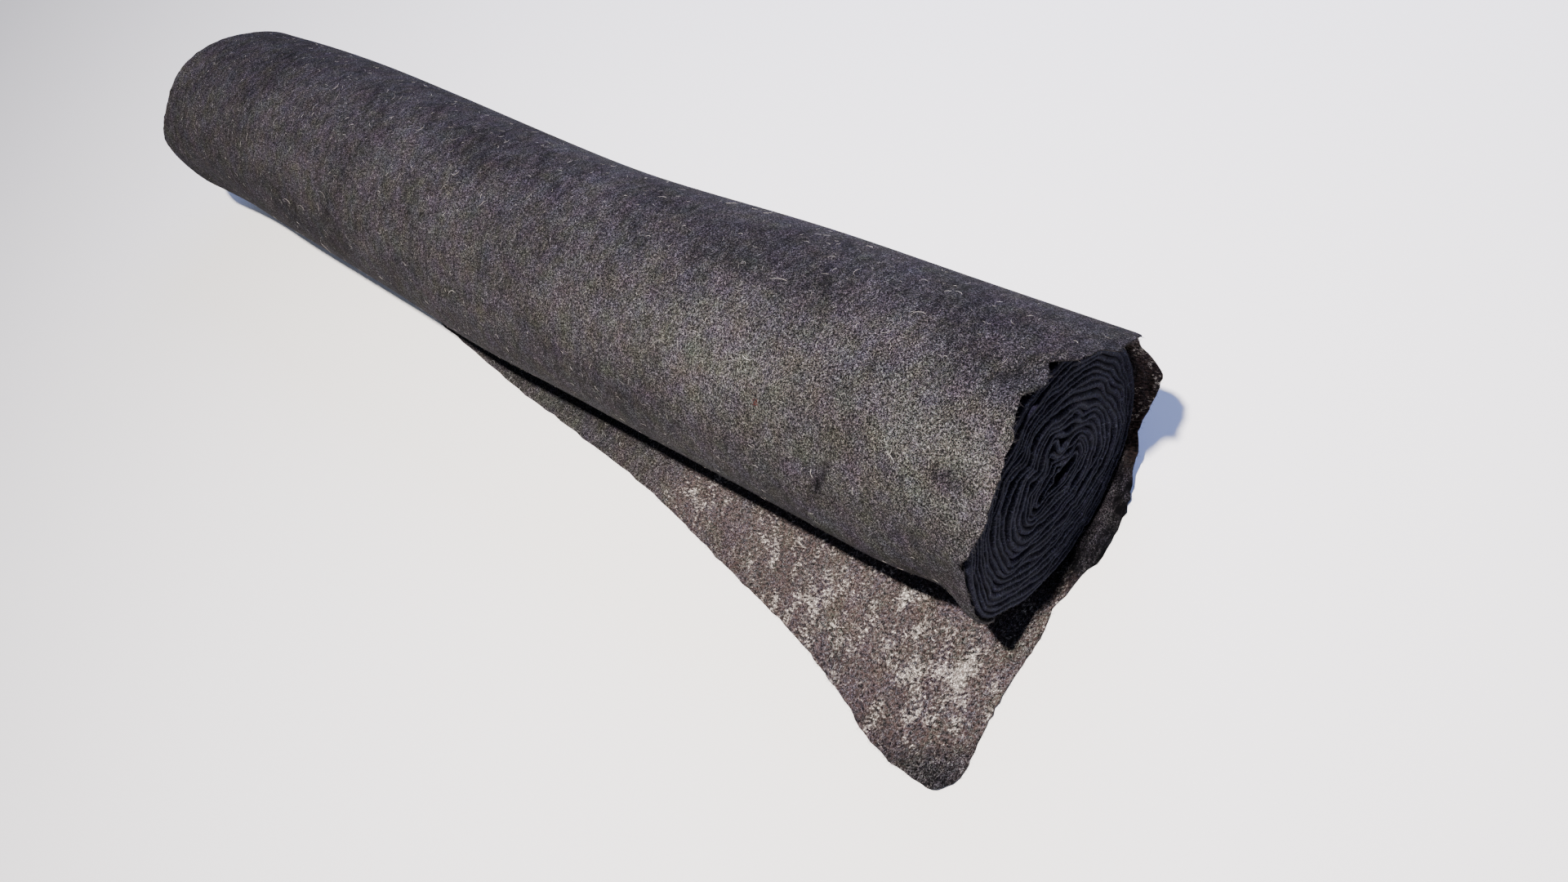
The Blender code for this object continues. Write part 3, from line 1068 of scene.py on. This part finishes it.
    def standing(
        self, rng: np.random.Generator, sheet: ClosedSheet, at_row: bool, kind: FibreKind
    ) -> tuple[np.ndarray, ...]:
        """Fibres that stand out from an edge of a sheet.

        Args:
            rng: where the numbers come from.
            sheet: the sheet.
            at_row: True for its first row, and False for the edges at both ends of the roll.
            kind: the kind of fibre.

        Returns:
            Points, directions and binormals.
        """
        rows, columns = sheet.middle.shape[:2]
        count = kind.count
        if at_row:
            row, column = np.zeros(count), rng.uniform(0, columns - 1, count)
        else:
            row = rng.uniform(0, rows - 1, count)
            column = np.where(rng.uniform(size=count) < self.near_share, columns - 1.0, 0.0)
        root, off, across = sheet.at(row, column, 1)
        out = -np.cross(off, across) if at_row else across * np.where(column > 0, 1, -1)[:, None]
        start = out + self.stray * rng.normal(size=(count, 3))
        start = start + out * np.maximum(self.least_out - (start * out).sum(-1, keepdims=True), 0)
        start[:, 2] = np.where(root[:, 2] < self.near_floor, np.abs(start[:, 2]), start[:, 2])
        length, bend = rng.uniform(*kind.lengths, count) * MM, rng.uniform(*self.end_bend, count)
        return self.arcs(root, start, rng.normal(size=(count, 3)), length, bend)

    def build(self) -> bpy.types.Object:
        """Makes the piece: each arc becomes a closed tube of three sides, thinner at its tips.

        Returns:
            The object.
        """
        rng = np.random.default_rng(self.seed)
        on_turn = (self.floor_lines + self.roll_rows[0], len(self.outer.middle) + self.roll_rows[1])
        tuft = (self.floor_lines + self.tuft_rows[0], self.floor_lines + self.tuft_rows[1])
        on_flap = (1, self.floor_lines * self.flap_share)
        kinds = (
            (self.on_roll, self.lying(rng, on_turn, -1, self.on_roll)),
            (self.long_ones, self.lying(rng, on_turn, -1, self.long_ones)),
            (self.on_flap, self.lying(rng, on_flap, 1, self.on_flap)),
            (self.at_edges, self.standing(rng, self.outer, False, self.at_edges)),
            (self.at_cut, self.standing(rng, self.outer, True, self.at_cut)),
            (self.at_turns, self.standing(rng, self.inner, False, self.at_turns)),
            (self.tuft, self.lying(rng, tuft, -1, self.tuft)),
        )
        points, ways, binormals = (np.concatenate(part) for part in zip(*(arcs for _, arcs in kinds)))
        tones = []
        for kind, _ in kinds:
            dark, pale = np.array(linear(kind.dark)), np.array(linear(kind.pale))
            tones.append(dark + rng.uniform(0, 1, (kind.count, 1)) ** 2 * (pale - dark))
        tones = np.repeat(np.concatenate(tones), self.steps * self.sides, axis=0)
        widths = np.concatenate([np.full(kind.count, kind.width) for kind, _ in kinds])
        taper = np.interp(np.linspace(0, 1, self.steps), self.taper_at, self.taper)
        radius = (widths * self.thickness / 2)[:, None] * taper[None, :]
        round_about = 2 * math.pi * np.arange(self.sides)[:, None] / self.sides
        normals = np.cross(binormals, ways)[:, :, None]
        ring = np.cos(round_about) * normals + np.sin(round_about) * binormals[:, :, None]
        corners = points[:, :, None] + radius[:, :, None, None] * ring + np.array(ROLL_MIDDLE)
        corners[..., 2] = np.maximum(corners[..., 2], self.lowest)
        index = np.arange(corners[..., 0].size).reshape(corners.shape[:3])
        turned = np.roll(index, -1, axis=2)
        sides = np.stack([index[:, :-1], turned[:, :-1], turned[:, 1:], index[:, 1:]], axis=-1)
        tips = np.concatenate([index[:, 0, ::-1], index[:, -1]])
        mesh = bpy.data.meshes.new("loose_fibres")
        mesh.from_pydata(corners.reshape(-1, 3), [], sides.reshape(-1, 4).tolist() + tips.tolist())
        tone = mesh.attributes.new("tone", "FLOAT_COLOR", "POINT")
        tone.data.foreach_set("color", tones.ravel().astype(np.float32))
        mesh.shade_smooth()
        built = bpy.data.objects.new("loose_fibres", mesh)
        bpy.context.scene.collection.objects.link(built)
        log.info("loose_fibres: %d faces in %d fibres", len(mesh.polygons), len(points))
        return built


# Settings that several nodes share.
MULTIPLY = {"operation": "MULTIPLY"}
MULTIPLY_ADD = {"operation": "MULTIPLY_ADD"}
COLOURS = {"data_type": "RGBA"}
FLAT = {"noise_dimensions": "2D"}


def add_node(
    tree: bpy.types.NodeTree, kind: str, settings: dict | None = None, **inputs
) -> bpy.types.Node:
    """Adds a node with its settings, and fills or links its inputs.

    Args:
        tree: the material's node tree.
        kind: the node's type, without the ShaderNode that each one starts with.
        settings: attributes to set on the node.
        inputs: socket names, spaces as underscores, or iN for the socket at place N. A socket
            of another node is linked, and so is a node, by its first output. Anything else is
            the value.

    Returns:
        The node.
    """
    node = tree.nodes.new("ShaderNode" + kind)
    for name, value in (settings or {}).items():
        setattr(node, name, value)
    for name, value in inputs.items():
        is_place = name[0] == "i" and name[1:].isdigit()
        socket = node.inputs[int(name[1:])] if is_place else node.inputs[name.replace("_", " ")]
        source = value.outputs[0] if isinstance(value, bpy.types.Node) else value
        if isinstance(source, bpy.types.NodeSocket):
            tree.links.new(source, socket)
        else:
            socket.default_value = value
    return node


@dataclass(frozen=True)
class FeltFinish:
    """Needle-punched felt of mixed fibres: a dark ground, strokes of paler fibre lying every
    way, soft patches of red, olive and blue, a dull surface, and pale thin places where the
    cloth lets light through."""

    name: str
    ground: str
    fibre: str
    pale: str
    thin: str
    # The strokes: their distance, length, width as a share of the distance, the ends of the
    # range that makes a stroke unseen or bright, and how their lays are turned, in degrees,
    # and shifted, each by this much more. Real fibres are about 0.03 mm thick, too fine to
    # show, so they are drawn some 0.3 mm thick.
    fibre_gap: float = 1.25 * MM
    fibre_length: float = 4.8 * MM
    fibre_line: float = 0.10
    fibre_seen: tuple = (0.62, 0.79)
    lays: tuple = (5, 29, 56, 82, 107, 131, 158)
    lay_shift: tuple = (0.31, 0.17, 0)
    # How they curl: the size of a curl, and how far it shifts them.
    curl_size: float = 3.6 * MM
    curl: float = 1.25 * MM
    # How high the felt's relief is, its strength, and the grain's share of it.
    relief: float = 0.7 * MM
    relief_strength: float = 0.6
    relief_grain: float = 0.8
    # The light that the grain gives the fibres: times this, plus that.
    grain_light: tuple = (0.8, -0.38)
    # Sizes of the felt's grain, of its reddish and greenish patches, of faded ones, of the
    # olive and blue cast, and of the drifts that the flecks lie in.
    grain_size: float = 1.6 * MM
    patch_size: float = 45 * MM
    fading_size: float = 130 * MM
    cast_size: float = 30 * MM
    drift_size: float = 26 * MM
    # How strongly the patches and the grain tint the felt.
    patch_tint: float = 0.15
    grain_tint: float = 0.22
    # Faint streaks round the roll that the needling leaves: their width and stretch. The angle
    # only picks where the pattern is read.
    streak_size: float = 16 * MM
    streak_stretch: tuple = (0.6, 1.5, 1)
    streak_angle: float = math.radians(28)
    # Fading, as a sum of patches, so much of the streaks and so much of the wear with its painted
    # light and shade: where it starts and ends, and the share of the fibres' light there.
    fading_streaks: float = 1.4
    fading_by_wear_and_light: float = 0.85
    fading: tuple = (0.80, 2.40, 0.13, 1.02)
    # The two casts, as what they multiply red, green and blue by, the range between them, and
    # how far the wear and painted light shift it: where they are low, a painted cool cast of shade.
    olive_cast: tuple = (0.97, 1.01, 0.92, 1.0)
    blue_cast: tuple = (0.99, 0.98, 1.11, 1.0)
    cast_range: tuple = (0.24, 0.54)
    cast_by_wear_and_light: float = -0.22
    # Pale flecks of the thin places: their size, the way that they run and their stretch.
    fleck_size: float = 4 * MM
    fleck_angle: float = math.radians(70)
    fleck_stretch: tuple = (1.6, 0.75, 1)
    # From which thinness to which the cloth turns pale, and from where to where in a clump.
    thin_range: tuple = (0.02, 0.22)
    clump_range: tuple = (0.38, 0.66)
    # It opens where a clump, so much of the thinness and so much of a drift add up to this.
    # The light in the opening is so many times the strokes, plus a little.
    open_thin: float = 0.17
    open_drift: float = 0.8
    open_range: tuple = (1.06, 1.22)
    open_light: tuple = (1.15, 0.06)
    # Polyester reflects more than this, but its light is caught between the fibres.
    roughness: float = 0.92
    specular: float = 0.04

    def noise(
        self, tree: bpy.types.NodeTree, place: bpy.types.Node, size: float, detail: float = 2.0
    ) -> bpy.types.Node:
        """Adds soft noise, read at a place, by the size of a blotch and how many finer layers."""
        sizes = {"Scale": 1 / size, "Detail": detail, "Roughness": 0.6}
        return add_node(tree, "TexNoise", FLAT, Vector=place, **sizes)

    def curled(self, tree: bpy.types.NodeTree, place: bpy.types.Node) -> bpy.types.Node:
        """Shifts the cloth's coordinates a little, so that straight lines come out as curls.

        Args:
            tree: the material's node tree.
            place: the cloth's own coordinates, in metres.

        Returns:
            The shifted coordinates.
        """
        shift = self.noise(tree, place, self.curl_size, 1.0).outputs["Color"]
        centred = add_node(tree, "VectorMath", {"operation": "SUBTRACT"}, i0=shift, i1=(0.5, 0.5, 0.5))
        return add_node(tree, "VectorMath", MULTIPLY_ADD, i0=centred, i1=(2 * self.curl,) * 3, i2=place)

    def strokes(self, tree: bpy.types.NodeTree, place: bpy.types.Node) -> bpy.types.Node:
        """Fibres that lie every way: for each lay, the lines where a stretched noise passes
        its middle value, each stretch of line with a brightness of its own; then the
        brightest of all lays.

        Args:
            tree: the material's node tree.
            place: the cloth's own coordinates, in metres.

        Returns:
            A value that is high on a fibre.
        """
        add = partial(add_node, tree)
        by_line = {"Scale": (1 / self.fibre_length, 1 / self.fibre_gap, 1)}
        to_line = {"From_Min": 0.0, "From_Max": self.fibre_line, "To_Min": 1.0, "To_Max": 0.0}
        low, high = self.fibre_seen
        found = None
        for number, degrees in enumerate(self.lays):
            shift = [step * number for step in self.lay_shift]
            turned = add("Mapping", Location=shift, Rotation=(0, 0, math.radians(degrees)), Vector=place)
            stretched = add("Mapping", **by_line, Vector=turned)
            noise = add("TexNoise", FLAT, Vector=stretched, Scale=1.0, Detail=1.0, Roughness=0.5)
            parts = add("SeparateColor", Color=noise.outputs["Color"])
            away = add("Math", {"operation": "SUBTRACT"}, i0=parts, i1=0.5)
            away = add("Math", {"operation": "ABSOLUTE"}, i0=away)
            line = add("MapRange", {"interpolation_type": "SMOOTHSTEP"}, Value=away, **to_line)
            bright = add("MapRange", Value=parts.outputs[1], From_Min=low, From_Max=high)
            seen = add("Math", MULTIPLY, i0=line, i1=bright)
            found = seen if found is None else add("Math", {"operation": "MAXIMUM"}, i0=found, i1=seen)
        return found

    def faded(
        self, tree: bpy.types.NodeTree, place: bpy.types.Node, worn: bpy.types.NodeSocket
    ) -> bpy.types.Node:
        """How light the fibres are: more in faded patches, in streaks and where the cloth is
        worn. It isn't held at its ends, so deep shade and full wear go past them.

        Args:
            tree: the material's node tree.
            place: the cloth's own coordinates, in metres.
            worn: the cloth's wear, with painted light, and painted shade where it is negative.

        Returns:
            The share of the fibres' light.
        """
        add = partial(add_node, tree)
        turned = (0, 0, self.streak_angle)
        streaked = add("Mapping", Rotation=turned, Scale=self.streak_stretch, Vector=place)
        streaks = self.noise(tree, streaked, self.streak_size, 3)
        blotch = self.noise(tree, place, self.fading_size, 3)
        blotch = add("Math", MULTIPLY_ADD, i0=streaks, i1=self.fading_streaks, i2=blotch)
        amount = add("Math", MULTIPLY_ADD, i0=worn, i1=self.fading_by_wear_and_light, i2=blotch)
        ends = dict(zip(("From_Min", "From_Max", "To_Min", "To_Max"), self.fading))
        return add("MapRange", {"clamp": False}, Value=amount, **ends)

    def tinted(
        self,
        tree: bpy.types.NodeTree,
        place: bpy.types.Node,
        grain: bpy.types.Node,
        worn: bpy.types.NodeSocket,
        colour: bpy.types.NodeSocket,
    ) -> bpy.types.NodeSocket:
        """Lays patches, grain and the olive and blue cast over a colour. The cast is bluer
        where the wear and painted light are low: a painted cool cast of shade.

        Args:
            tree: the material's node tree.
            place: the cloth's own coordinates, in metres.
            grain: the felt's grain.
            worn: the cloth's wear, with painted light, and painted shade where it is negative.
            colour: the colour under it.

        Returns:
            The colour.
        """
        add = partial(add_node, tree)
        over = {**COLOURS, "blend_type": "OVERLAY"}
        patches = self.noise(tree, place, self.patch_size, 3)
        for factor, pattern in ((self.patch_tint, patches), (self.grain_tint, grain)):
            colour = add("Mix", over, Factor=factor, i6=colour, i7=pattern.outputs["Color"]).outputs[2]
        low, high = self.cast_range
        cast_at = self.noise(tree, place, self.cast_size, 3)
        cast_at = add("Math", MULTIPLY_ADD, i0=worn, i1=self.cast_by_wear_and_light, i2=cast_at)
        cast_at = add("MapRange", Value=cast_at, From_Min=low, From_Max=high)
        cast = add("Mix", COLOURS, Factor=cast_at, i6=self.olive_cast, i7=self.blue_cast).outputs[2]
        by = {**COLOURS, "blend_type": "MULTIPLY"}
        return add("Mix", by, Factor=1.0, i6=colour, i7=cast).outputs[2]

    def flecked(
        self,
        tree: bpy.types.NodeTree,
        place: bpy.types.Node,
        strokes: bpy.types.Node,
        colour: bpy.types.NodeSocket,
    ) -> bpy.types.NodeSocket:
        """Makes the thin places pale in clumps, and opens them in flecks along the strokes,
        where thinness, a clump and a drift meet.

        Args:
            tree: the material's node tree.
            place: the cloth's own coordinates, in metres.
            strokes: the fibres.
            colour: the colour of the full cloth.

        Returns:
            The colour.
        """
        add = partial(add_node, tree)
        thin = add("Attribute", {"attribute_name": "thin"}).outputs["Fac"]
        low, high = self.thin_range
        only_thin = add("MapRange", Value=thin, From_Min=low, From_Max=high)
        turned, as_texture = (0, 0, self.fleck_angle), {"vector_type": "TEXTURE"}
        along = add("Mapping", as_texture, Rotation=turned, Scale=self.fleck_stretch, Vector=place)
        clumps = self.noise(tree, along, self.fleck_size, 4)
        low, high = self.clump_range
        paleness = add("MapRange", Value=clumps, From_Min=low, From_Max=high)
        paleness = add("Math", MULTIPLY, i0=paleness, i1=only_thin)
        lighter = {**COLOURS, "blend_type": "ADD"}
        single = add("Mix", lighter, Factor=paleness, i6=colour, i7=linear(self.pale)).outputs[2]
        drift = self.noise(tree, place, self.drift_size, 2)
        opening = add("Math", MULTIPLY_ADD, i0=thin, i1=self.open_thin, i2=clumps)
        opening = add("Math", MULTIPLY_ADD, i0=drift, i1=self.open_drift, i2=opening)
        low, high = self.open_range
        opening = add("MapRange", Value=opening, From_Min=low, From_Max=high)
        opening = add("Math", MULTIPLY, i0=opening, i1=only_thin)
        times, plus = self.open_light
        fleck = add("Math", MULTIPLY_ADD, i0=strokes, i1=times, i2=plus)
        opening = add("Math", MULTIPLY, i0=opening, i1=fleck)
        return add("Mix", COLOURS, Factor=opening, i6=single, i7=linear(self.thin)).outputs[2]

    def build(self) -> bpy.types.Material:
        """Makes the material.

        Returns:
            The material.
        """
        material = bpy.data.materials.new(self.name)
        material.use_nodes = True
        tree = material.node_tree
        add = partial(add_node, tree)
        shader = tree.nodes["Principled BSDF"]
        place = add("UVMap", {"uv_map": "cloth"})
        # The wear that the pieces carry, with painted light and painted shade in it.
        worn = add("Attribute", {"attribute_name": "worn"}).outputs["Fac"]
        strokes = self.strokes(tree, self.curled(tree, place))
        grain = self.noise(tree, place, self.grain_size)
        times, plus = self.grain_light
        lit = add("Math", {**MULTIPLY_ADD, "use_clamp": True}, i0=grain, i1=times, i2=plus)
        lit = add("Math", {"operation": "ADD"}, i0=lit, i1=strokes)
        lit = add("Math", {**MULTIPLY, "use_clamp": True}, i0=lit, i1=self.faded(tree, place, worn))
        colour = add("Mix", COLOURS, Factor=lit, i6=linear(self.ground), i7=linear(self.fibre)).outputs[2]
        colour = self.tinted(tree, place, grain, worn, colour)
        colour = self.flecked(tree, place, strokes, colour)
        height = add("Math", MULTIPLY_ADD, i0=grain, i1=self.relief_grain, i2=strokes)
        bump = add("Bump", Strength=self.relief_strength, Distance=self.relief, Height=height)
        tree.links.new(colour, shader.inputs["Base Color"])
        tree.links.new(bump.outputs["Normal"], shader.inputs["Normal"])
        shader.inputs["Roughness"].default_value = self.roughness
        shader.inputs["Specular IOR Level"].default_value = self.specular
        return material


# The outer face of the cloth: charcoal and grey fibres, with a mauve cast in the light.
OUTER_FELT = FeltFinish("outer_felt", ground="050506", fibre="959092", pale="382C2A", thin="FFF8F0")
# The wound turns, seen at their edges: the same fibres, painted darker and bluer as shade, for
# they lie out of the light; their pale colours give the crests a painted highlight.
INNER_FELT = FeltFinish("inner_felt", ground="0E0E15", fibre="54566A", pale="22262E", thin="7A7F88")


@dataclass(frozen=True)
class FibreFinish:
    """A single synthetic fibre: its own tone, from the tone attribute, a little uneven along
    its length, with the soft gleam of polyester."""

    name: str
    patch: float = 3 * MM
    roughness: float = 0.6
    specular: float = 0.2

    def build(self) -> bpy.types.Material:
        """Makes the material.

        Returns:
            The material.
        """
        material = bpy.data.materials.new(self.name)
        material.use_nodes = True
        tree = material.node_tree
        add = partial(add_node, tree)
        shader = tree.nodes["Principled BSDF"]
        tone = add("Attribute", {"attribute_name": "tone"}).outputs["Color"]
        place = add("TexCoord").outputs["Object"]
        noise = add("TexNoise", Vector=place, Scale=1 / self.patch, Detail=1.0)
        shade = add("MapRange", Value=noise, From_Min=0.3, From_Max=0.7, To_Min=0.6)
        by = {**COLOURS, "blend_type": "MULTIPLY"}
        colour = add("Mix", by, Factor=1.0, i6=tone, i7=shade).outputs[2]
        tree.links.new(colour, shader.inputs["Base Color"])
        shader.inputs["Roughness"].default_value = self.roughness
        shader.inputs["Specular IOR Level"].default_value = self.specular
        return material


@dataclass(frozen=True)
class Lamp:
    """A soft square lamp: its place, its side in metres, its power in watts and its colour."""

    name: str
    at: tuple
    size: float
    power: float
    colour: str

    def build(self) -> None:
        """Makes the lamp, facing the frame's origin."""
        data = bpy.data.lights.new(self.name, "AREA")
        data.size = self.size
        data.energy = self.power
        data.color = linear(self.colour)[:3]
        lamp = bpy.data.objects.new(self.name, data)
        lamp.location = self.at
        lamp.rotation_mode = "QUATERNION"
        lamp.rotation_quaternion = (-Vector(self.at)).to_track_quat("-Z", "Y")
        bpy.context.scene.collection.objects.link(lamp)


@dataclass(frozen=True)
class Studio:
    """A pale floor, soft light and the camera."""

    camera_at: tuple = (1.4941, -0.3364, 1.4113)
    aim: tuple = (0.5176, -0.0776, 0.0)
    roll_degrees: float = 45.24
    lens_mm: float = 26.62
    nearest: float = 50 * MM
    # The floor: half its side, how far it lies under the cloth, its colour and its roughness.
    floor_half: float = 30.0
    floor_under: float = 0.5 * MM
    floor_colour: str = "F4F4F4"
    floor_roughness: float = 0.9
    world_colour: str = "D6E0FF"
    world_strength: float = 0.24
    # A small warm lamp overhead, and a broad bluish one behind the roll.
    lamps: tuple = (
        Lamp("key", (1.06, -0.19, 3.20), 0.12, 395, "FFF6EE"),
        Lamp("back_fill", (0.30, 2.40, 1.80), 1.6, 84, "96ACFF"),
    )

    def camera(self) -> None:
        """Makes the camera at the photograph's angle, turned about its own axis."""
        data = bpy.data.cameras.new("camera")
        data.lens = self.lens_mm
        data.clip_start = self.nearest
        camera = bpy.data.objects.new("camera", data)
        bpy.context.scene.collection.objects.link(camera)
        middle = Vector(ROLL_MIDDLE)
        place = Vector(self.camera_at) + middle
        forward = (Vector(self.aim) + middle - place).normalized()
        camera.location = place
        camera.rotation_mode = "QUATERNION"
        level = forward.to_track_quat("-Z", "Y")
        camera.rotation_quaternion = Quaternion(forward, math.radians(self.roll_degrees)) @ level
        bpy.context.scene.camera = camera

    def floor(self) -> None:
        """Makes the pale floor, just under the cloth."""
        mesh = bpy.data.meshes.new("floor")
        half = self.floor_half
        corners = [(-half, -half), (half, -half), (half, half), (-half, half)]
        mesh.from_pydata([(x, y, -self.floor_under) for x, y in corners], [], [(0, 1, 2, 3)])
        material = bpy.data.materials.new("pale_floor")
        material.use_nodes = True
        shader = material.node_tree.nodes["Principled BSDF"]
        shader.inputs["Base Color"].default_value = linear(self.floor_colour)
        shader.inputs["Roughness"].default_value = self.floor_roughness
        mesh.materials.append(material)
        floor = bpy.data.objects.new("floor", mesh)
        bpy.context.scene.collection.objects.link(floor)

    def world(self) -> None:
        """Sets a plain pale world."""
        world = bpy.data.worlds.new("studio")
        world.use_nodes = True
        background = world.node_tree.nodes["Background"]
        background.inputs["Color"].default_value = linear(self.world_colour)
        background.inputs["Strength"].default_value = self.world_strength
        bpy.context.scene.world = world

    def build(self) -> None:
        """Sets everything up."""
        self.camera()
        self.floor()
        self.world()
        for lamp in self.lamps:
            lamp.build()


def dress(piece: bpy.types.Object, felt: bpy.types.Material) -> None:
    """Args:
        piece: the piece.
        felt: its material.
    """
    piece.data.materials.append(felt)
    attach(piece, "root")


def main() -> None:
    """Builds the pieces, the studio and the camera."""
    logging.basicConfig(level=logging.INFO, format="%(name)s: %(message)s")
    Studio().build()
    winding = Winding()
    outer, outer_sheet = OuterCloth(winding).build()
    inner, inner_sheet = InnerTurns(winding).build()
    dress(outer, OUTER_FELT.build())
    dress(inner, INNER_FELT.build())
    fibres = LooseFibres(outer_sheet, inner_sheet, OuterCloth.floor_lines).build()
    fibres.data.materials.append(FibreFinish("loose_fibre").build())
    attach(fibres, "root")
    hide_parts("loose_end")
    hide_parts("wound_roll")


if __name__ == "__main__":
    main()
